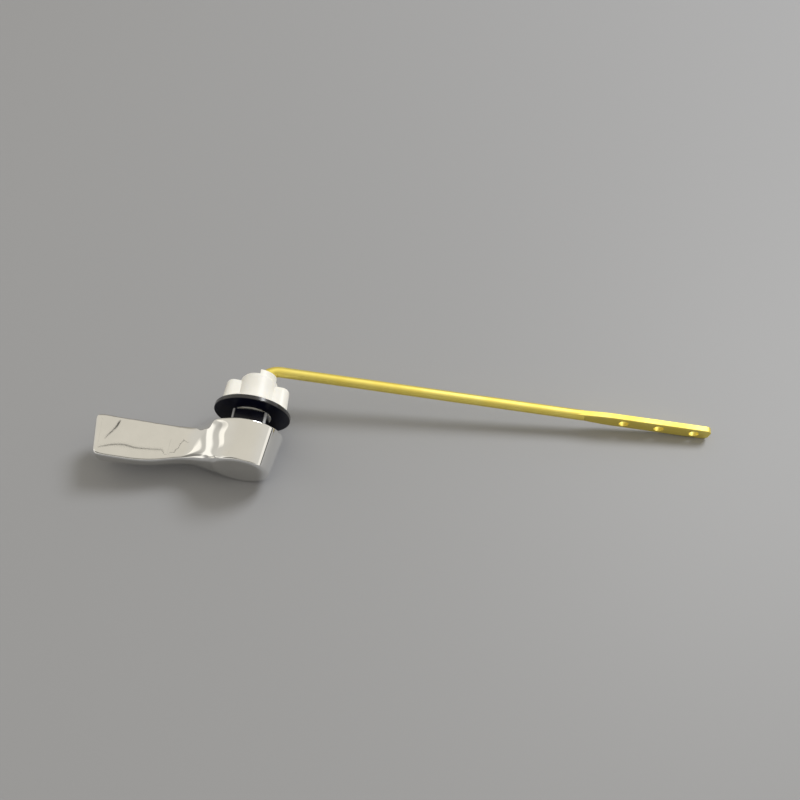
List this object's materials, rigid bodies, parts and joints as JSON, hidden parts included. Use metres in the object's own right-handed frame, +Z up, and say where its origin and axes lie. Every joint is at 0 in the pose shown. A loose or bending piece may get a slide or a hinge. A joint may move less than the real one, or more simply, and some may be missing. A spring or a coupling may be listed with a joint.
{
  "type": "cistern lever",
  "caption": "Front-mounted cistern lever: chrome paddle handle on a tapered hub, square-shanked bushing, rubber washer, wing nut and a bent brass arm with chain holes.",
  "frame": {"origin": "on the pivot axis, at the back face of the bushing's flange, which bears on the outside of the tank wall", "axes": "+X along the arm, +Y along the pivot into the tank, +Z up"},
  "size_m": [0.2813, 0.0556, 0.0348],
  "materials": {
    "chrome_plate": "polished chrome plate on zinc",
    "screw_steel": "dull steel",
    "black_plastic": "moulded, semi-gloss",
    "washer_rubber": "matt",
    "white_plastic": "moulded, satin",
    "arm_brass": "bright drawn brass"
  },
  "bodies": {
    "bushing": {"bushing": "black_plastic"},
    "lever": {"handle": "chrome_plate", "set_screw": "screw_steel", "arm_sleeve": "white_plastic", "trip_arm": "arm_brass"},
    "washer": {"washer": "washer_rubber"},
    "nut": {"wing_nut": "white_plastic"}
  },
  "joints": [
    {"name": "lever_pivot", "type": "hinge", "parent": "bushing", "child": "lever", "pos_m": [0, 0, 0], "axis": [0, -1, 0], "range_deg": [0, 40]},
    {"name": "washer_slide", "type": "slide", "parent": "bushing", "child": "washer", "axis": [0, 1, 0], "range_m": [0, 0.00352]},
    {"name": "nut_turn", "type": "hinge", "parent": "washer", "child": "nut", "pos_m": [0, 0.0105, 0], "axis": [0, -1, 0], "range_deg": [0, 630]}
  ],
  "couplings": [
    {"joint": "washer_slide", "follows": "nut_turn", "m_per_rad": 0.00031831}
  ]
}
